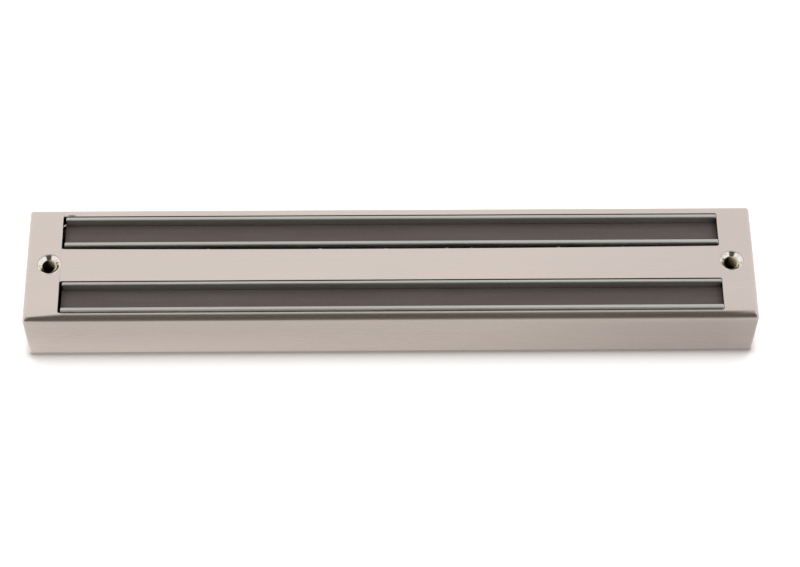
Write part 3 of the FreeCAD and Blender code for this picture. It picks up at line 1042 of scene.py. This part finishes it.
@dataclass
class Rail:
    """One magnetic rail: two steel poles and the ferrite strip between them."""

    name: str
    far_play: float
    steel: bpy.types.Material
    ferrite: bpy.types.Material
    strip_play: Point = (-0.7 * MM, -0.13 * MM, 0.0)
    tip_round: float = 0.85 * MM
    worn_round: float = 1.15 * MM
    worn_tip: float = 1.85 * MM
    tip_steps: int = 8
    end_round: float = 0.5 * MM
    end_steps: int = 5
    pole_edge: float = 0.1 * MM
    strip_edge: float = 0.2 * MM
    edge_angle: float = 60.0
    shading_angle: float = 40.0
    cuts_along: int = 157
    cuts_across: int = 5
    hollow: float = 0.05 * MM
    ripple: float = 0.03 * MM
    waves: tuple[tuple[float, float, float, float], ...] = (
        (1.0, 0.061, 0.5, 0.0),
        (0.6, 0.173, 0.0, 2.1),
    )    # each one's size, radians per millimetre along and across, and start

    def build(self) -> None:
        """Makes both poles and the strip."""
        self._pole("upper", self.far_play, self.tip_round, self.tip_round)
        self._pole("lower", 0.0, self.worn_round, self.worn_tip - self.worn_round)
        self._strip()

    def _pole(self, place: str, play: float, near_round: float, far_round: float) -> None:
        """A pole strip with rounded tips and ends.

        Args:
            place: "upper" or "lower", its place in the rail.
            play: how much thinner it is on its far side.
            near_round: radius along its near tip.
            far_round: radius along its far tip.
        """
        node = f"{self.name}_{place}_pole"
        low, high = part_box(node)
        high = high - Vector((0, play, 0))
        pole = Bench.block(f"{node}_strip", low, high)
        Bench.pick(
            pole, "EDGE", lambda a, b: min(a.z, b.z) > high.z - COIN and abs(a.y - b.y) > COIN
        )
        bpy.ops.mesh.bevel(offset=self.end_round, segments=self.end_steps, affect="EDGES")
        Bench.leave()
        for side, radius in ((low.y, near_round), (high.y, far_round)):
            Bench.pick(
                pole, "EDGE",
                lambda a, b, side=side: max(abs(a.y - side), abs(b.y - side)) < COIN
                and abs(a.x - b.x) > COIN and min(a.z, b.z) > high.z - self.end_round - COIN,
            )
            bpy.ops.mesh.bevel(
                offset=radius, segments=self.tip_steps, affect="EDGES", clamp_overlap=True
            )
            Bench.leave()
        Bench.straighten(pole)
        Bench.break_edges(pole, self.pole_edge, self.edge_angle)
        Bench.smooth(pole, self.shading_angle)
        fit(pole, [node], self.steel)

    def _strip(self) -> None:
        """The ferrite strip, its face a little uneven."""
        node = f"{self.name}_magnet"
        low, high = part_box(node)
        play = Vector(self.strip_play)
        strip = Bench.block(f"{node}_strip", low + play, high - play)
        Bench.pick(strip, "EDGE", lambda a, b: abs(a.x - b.x) > COIN)
        bpy.ops.mesh.subdivide(number_cuts=self.cuts_along)
        Bench.leave()
        Bench.pick(
            strip, "EDGE", lambda a, b: abs(a.y - b.y) > COIN and min(a.z, b.z) > high.z - COIN
        )
        bpy.ops.mesh.subdivide(number_cuts=self.cuts_across)
        Bench.leave()
        for point in strip.data.vertices:
            if point.co.z > high.z - COIN:
                along, across = point.co.x / MM, (point.co.y - low.y) / MM
                wave = sum(
                    size * math.sin(by_along * along + by_across * across + start)
                    for size, by_along, by_across, start in self.waves
                )
                point.co.z -= self.hollow + self.ripple * wave
        Bench.break_edges(strip, self.strip_edge, self.edge_angle)
        Bench.smooth(strip, self.shading_angle)
        fit(strip, [node], self.ferrite)


# ---------------- small marks

@dataclass
class WorkMarks:
    """Small marks: burrs left by the punch, a bent sliver, and a thin dark mark above the upper
    slot.
    """

    steel: bpy.types.Material
    ferrite: bpy.types.Material
    burrs: tuple[Point, ...] = (
        (-34.0, 7.92, 1.6), (-2.5, 7.9, 1.1), (27.0, 7.95, 1.3), (39.0, 7.98, 0.8),
        (81.0, 8.1, 1.9), (-88.0, 8.12, 0.9), (112.0, 8.32, 0.7),
    )    # each one's place along and across and its length, in millimetres
    burr_section: Span = (0.22 * MM, 0.10 * MM)
    burr_play: Span = (0.06 * MM, -0.02 * MM)
    sliver_place: Point = (-157.675 * MM, 21.7 * MM, 0.05 * MM)
    sliver_size: Point = (2.0 * MM, 0.46 * MM, 0.16 * MM)
    sliver_turn: float = 0.75
    dark_mark_place: Point = (-154.6 * MM, 27.5 * MM, 0.0)
    dark_mark_size: Point = (4.0 * MM, 0.6 * MM, 0.08 * MM)
    dark_mark_turn: float = -0.03
    slim: float = 0.8
    bend_cuts: int = 6
    shading_angle: float = 50.0

    def build(self) -> None:
        """Makes the burrs and the sliver, then the dark mark above the upper slot."""
        for number, (along, across, length) in enumerate(self.burrs, start=1):
            place = (along * MM, across * MM + self.burr_play[0], self.burr_play[1])
            burr = self._sliver(f"punch_burr_{number}", place, (length * MM, *self.burr_section))
            fit(burr, [], self.steel)
        sliver = self._sliver("bent_sliver", self.sliver_place, self.sliver_size, self.sliver_turn)
        fit(sliver, [], self.steel)
        # a thin dark sliver in the ferrite finish, just above the upper slot's left end
        dark_mark = self._sliver("dark_mark_above_slot", self.dark_mark_place, self.dark_mark_size, self.dark_mark_turn)
        fit(dark_mark, [], self.ferrite)

    def _sliver(
        self, name: str, place: Point, size: Point, turn: float = 0.0
    ) -> bpy.types.Object:
        """A thin curled sliver, pointed at both ends.

        Args:
            name: the piece's name.
            place: its centre, with its height over the cover's face.
            size: its length, width and thickness.
            turn: how far it lies turned on the face, in radians.

        Returns:
            The sliver.
        """
        half = Vector(size) / 2
        piece = Bench.block(name, -half, half)
        Bench.pick(piece, "EDGE", lambda a, b: abs(a.x - b.x) > COIN)
        bpy.ops.mesh.subdivide(number_cuts=self.bend_cuts)
        Bench.leave()
        for point in piece.data.vertices:
            share = point.co.x / half.x
            slim = 1 - self.slim * share * share
            point.co.y *= slim
            point.co.z = point.co.z * slim + half.z * share * share
        piece.location = Vector(place) + Vector((0, 0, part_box("housing")[1].z))
        piece.rotation_euler = (0, 0, turn)
        Bench.settle(piece)
        Bench.smooth(piece, self.shading_angle)
        return piece


# ---------------- the wall fixings

@dataclass
class WallFixing:
    """Countersunk ferrule in the face and the spacer tube behind it."""

    side: str
    nickel: bpy.types.Material
    brass: bpy.types.Material
    bore: float = 3.5 * MM
    sink: float = 5.0 * MM
    sink_depth: float = 1.75 * MM
    lip: float = 0.3 * MM
    edge: float = 0.12 * MM
    barrel: float = 5.6 * MM
    sheet: float = 1.0 * MM
    flange: float = 7.0 * MM
    tube_bore: float = 3.0 * MM
    tube_play: Point = (-0.42 * MM, -0.16 * MM, 0.0)
    tube_mouth: Span = (0.3 * MM, 0.5 * MM)
    spigot: float = 3.85 * MM
    tube: float = 5.0 * MM
    back: float = 1.2 * MM
    shading_angle: float = 35.0

    def build(self) -> None:
        """Makes the ferrule, then the tube below it."""
        low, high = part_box(f"{self.side}_ferrule")
        middle = ((low.x + high.x) / 2, (low.y + high.y) / 2)
        self._ferrule((*middle, high.z))
        self._tube(middle)

    def _ferrule(self, top: Point) -> None:
        """The ferrule: a rounded lip, the cone and a collar under the face.

        Args:
            top: middle of its face.
        """
        edge = self.edge
        ferrule = Bench.turn(f"{self.side}_countersunk_ferrule", top, [
            (self.sink, -self.lip * 0.55),
            (self.sink + self.lip * 0.35, -self.lip * 0.2),
            (self.sink + self.lip, 0.0),
            (self.barrel - edge, 0.0),
            (self.barrel, -edge),
            (self.barrel, -self.sheet),
            (self.flange, -self.sheet),
            (self.flange, -self.sink_depth),
            (self.bore + edge * 0.4, -self.sink_depth),
            (self.bore, -self.sink_depth + edge * 0.6),
            (self.bore + edge, -self.sink_depth + edge * 1.6),
            ((self.bore + self.sink) / 2, -self.sink_depth / 2 - edge * 0.2),
        ])
        Bench.smooth(ferrule, self.shading_angle)
        fit(ferrule, [f"{self.side}_ferrule"], self.nickel)

    def _tube(self, middle: Span) -> None:
        """The spacer tube, a little off the ferrule's middle line.

        Args:
            middle: the ferrule's middle line.
        """
        node = f"{self.side}_spacer_tube"
        low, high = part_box(node)
        tall = high.z - low.z
        mouth, mouth_depth = self.tube_mouth
        tube = Bench.turn(f"{self.side}_turned_tube", (*middle, low.z), [
            (self.tube_bore, 0.0),
            (self.spigot, 0.0),
            (self.spigot, self.back),
            (self.tube, self.back),
            (self.tube, tall),
            (self.tube_bore + mouth, tall),
            (self.tube_bore, tall - mouth_depth),
            (self.tube_bore, tall * 0.5),
        ])
        Bench.take(tube)
        bpy.ops.transform.translate(value=self.tube_play)
        Bench.settle(tube)
        Bench.smooth(tube, self.shading_angle)
        fit(tube, [node], self.brass)


# ---------------- unseen metalwork

@dataclass
class HiddenFrame:
    """The back plate, brackets, base bars, rivets and screws behind the face."""

    sheet: PlainMetal = PlainMetal(
        "back_steel", (0.60, 0.60, 0.59), (0.50, 0.50, 0.50), 0.36, Grain.LENGTHWISE
    )
    bracket: PlainMetal = PlainMetal("bracket_steel", (0.62, 0.62, 0.61), (0.46, 0.47, 0.48), 0.4)
    bar: PlainMetal = PlainMetal(
        "base_aluminium", (0.75, 0.75, 0.75), (0.66, 0.66, 0.67), 0.34, Grain.LENGTHWISE
    )
    rivet: PlainMetal = PlainMetal("rivet_aluminium", (0.74, 0.74, 0.74), (0.62, 0.62, 0.62), 0.3)
    screw: PlainMetal = PlainMetal("screw_steel", (0.58, 0.57, 0.54), (0.46, 0.46, 0.44), 0.28)

    def build(self) -> None:
        """Dresses each of them."""
        for finish, nodes in (
            (self.sheet, ("back_plate",)),
            (self.bracket, ("left_rail_bracket", "middle_rail_bracket", "right_rail_bracket")),
            (self.bar, ("upper_rail_base_bar", "lower_rail_base_bar")),
            (self.rivet, ("upper_rail_rivets", "lower_rail_rivets")),
            (self.screw, ("rail_screws",)),
        ):
            material = finish.make()
            for node in nodes:
                dress(frame["nodes"][node], material)
                LOG.info("%s: dressed in %s", node, material.name)


# ---------------- the studio

@dataclass
class Studio:
    """Pale floor, soft light and the camera."""

    eye: Point = (-10.751 * MM, -607.488 * MM, 1036.041 * MM)
    forward: Point = (0.01280659, 0.51024736, -0.85993234)
    up: Point = (0.00550017, 0.85995391, 0.51034207)
    lens: float = 109.9
    sensor: float = 36.0
    sight: float = 50.0
    floor_size: float = 8.0
    floor_drop: float = 0.2 * MM
    wall: Colour = (0.93, 0.92, 0.91)
    gloom: Colour = (0.085, 0.077, 0.062)
    opening: Span = (-9.0, 87.0)
    opening_edge: float = 16.0
    opening_side: Span = (0.30, 0.46)

    def build(self) -> None:
        """Sets the floor, the lights and the camera."""
        self._floor()
        self._lights()
        self._camera()
        scene = bpy.context.scene
        scene.view_settings.view_transform = "Standard"
        scene.view_settings.look = "None"

    def _floor(self) -> None:
        """Large floor just under the rack."""
        Bench.clear()
        bpy.ops.mesh.primitive_plane_add(size=self.floor_size, location=(0, 0, -self.floor_drop))
        floor = bpy.context.active_object
        floor.name = "studio_floor"
        Bench.settle(floor)
        dress(floor, StudioFloor().make())

    def _lights(self) -> None:
        """An evenly lit white room with a dark opening above and in front of the rack."""
        world = bpy.data.worlds.new("white_room")
        bpy.context.scene.world = world
        shop = NodeShop(world)
        way = shop.node("ShaderNodeTexCoord", {}, {}, "Generated")
        across, depth, height = (shop.axis(way, name) for name in "XYZ")
        tilt = shop.maths("ARCTAN2", depth * -1, height)
        start, end = (math.radians(angle) for angle in self.opening)
        edge = math.radians(self.opening_edge)
        dark = (
            tilt.ramp(start - edge, start + edge) * (1 - tilt.ramp(end - edge, end + edge))
            * (1 - abs(across).ramp(*self.opening_side))
        )
        light = shop.node(
            "ShaderNodeBackground", {},
            {"Color": shop.blend(dark, self.wall, self.gloom), "Strength": 1.0},
        )
        shop.show(light, "ShaderNodeOutputWorld")

    def _camera(self) -> None:
        """Places the camera by its line of sight and its upright."""
        forward, up = Vector(self.forward), Vector(self.up)
        right = forward.cross(up)
        turn = Matrix((right, up, -forward)).transposed()
        lens = bpy.data.cameras.new("studio_camera")
        lens.lens = self.lens
        lens.sensor_width = self.sensor
        lens.clip_end = self.sight
        camera = bpy.data.objects.new("studio_camera", lens)
        camera.matrix_world = Matrix.Translation(Vector(self.eye)) @ turn.to_4x4()
        bpy.context.scene.collection.objects.link(camera)
        bpy.context.scene.camera = camera


def main() -> None:
    """Sets the studio, then builds the rack's pieces in order."""
    logging.basicConfig(level=logging.INFO, format="%(message)s")
    Studio().build()
    stainless = BrushedStainless().make()
    Cover(stainless).build()
    steel, ferrite = PoleSteel().make(), FerriteStrip().make()
    WorkMarks(stainless, ferrite).build()
    Rail("upper_rail", 0.1 * MM, steel, ferrite).build()
    Rail("lower_rail", 0.32 * MM, steel, ferrite).build()
    nickel = PlatedMetal("nickel_plate", (0.89, 0.86, 0.81), (0.60, 0.53, 0.44), 0.12).make()
    brass = BoreBrass().make()
    for side in ("left", "right"):
        WallFixing(side, nickel, brass).build()
    HiddenFrame().build()


if __name__ == "__main__":
    main()
